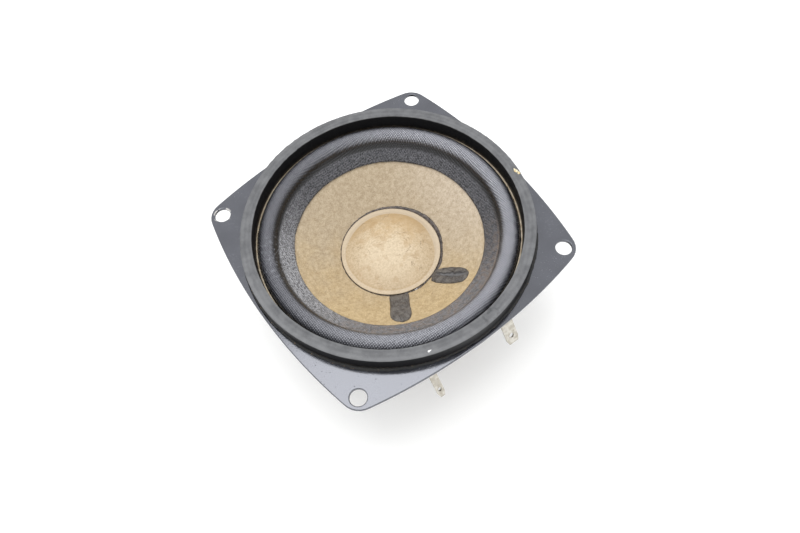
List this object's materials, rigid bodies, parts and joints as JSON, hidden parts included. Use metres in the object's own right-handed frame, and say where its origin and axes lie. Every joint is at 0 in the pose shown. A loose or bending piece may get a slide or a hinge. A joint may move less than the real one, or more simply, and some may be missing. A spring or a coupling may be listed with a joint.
{
  "type": "loudspeaker drive unit",
  "caption": "Round-cone loudspeaker driver on a square pressed steel flange with a foam gasket, a ferrite magnet and two push-on tab terminals.",
  "frame": {"origin": "centre of the back plate's flat back, which the driver stands on", "axes": "+Z along the driver's axis, out of the cone's front; the terminals are on the -Y side"},
  "size_m": [0.099, 0.099, 0.0498],
  "materials": {
    "basket": "semi-gloss black baked paint",
    "top_plate": "yellow zinc plated steel",
    "magnet": "bare ground ferrite",
    "back_plate": "yellow zinc plated steel",
    "pole_piece": "turned steel",
    "former": "kraft paper tube",
    "winding": "enamelled copper wire",
    "spider": "resin treated cotton",
    "cone": "pressed kraft pulp",
    "surround": "coated black cloth",
    "dust_cap": "pale pressed pulp",
    "bead_glue": "dried dark contact glue",
    "blob_glue": "dried dark rubber glue",
    "tinsel": "braided copper tinsel",
    "card_ring": "tan pressed card",
    "gasket": "closed-cell black foam, greyed with age",
    "board": "brown paper-phenolic laminate",
    "terminal": "tin plated brass",
    "rivet": "nickel plated",
    "solder": "dull tin-lead solder"
  },
  "bodies": {
    "frame": {"basket": "basket", "top_plate": "top_plate", "magnet": "magnet", "back_plate": "back_plate", "pole_piece": "pole_piece", "spider": "spider", "surround": "surround", "tinsel_lead_left": "tinsel", "tinsel_lead_right": "tinsel", "card_ring": "card_ring", "gasket": "gasket", "terminal_board": "board", "terminal_narrow": "terminal", "terminal_wide": "terminal", "board_rivet_left": "rivet", "board_rivet_right": "rivet", "terminal_rivet_left": "rivet", "terminal_rivet_right": "rivet", "top_plate_rivet_1": "rivet", "top_plate_rivet_2": "rivet", "top_plate_rivet_3": "rivet", "top_plate_rivet_4": "rivet", "solder_joint_left": "solder", "solder_joint_right": "solder"},
    "moving_assembly": {"cone": "cone", "dust_cap": "dust_cap", "dust_cap_glue": "bead_glue", "lead_glue_left": "blob_glue", "lead_glue_right": "blob_glue", "voice_coil_former": "former", "voice_coil_winding": "winding"}
  },
  "joints": [
    {"name": "cone_travel", "type": "slide", "parent": "frame", "child": "moving_assembly", "axis": [0, 0, 1], "range_m": [-0.003, 0.003], "stiffness_N_per_m": 1250, "deforming": ["surround", "spider", "tinsel_lead_left", "tinsel_lead_right"]}
  ]
}
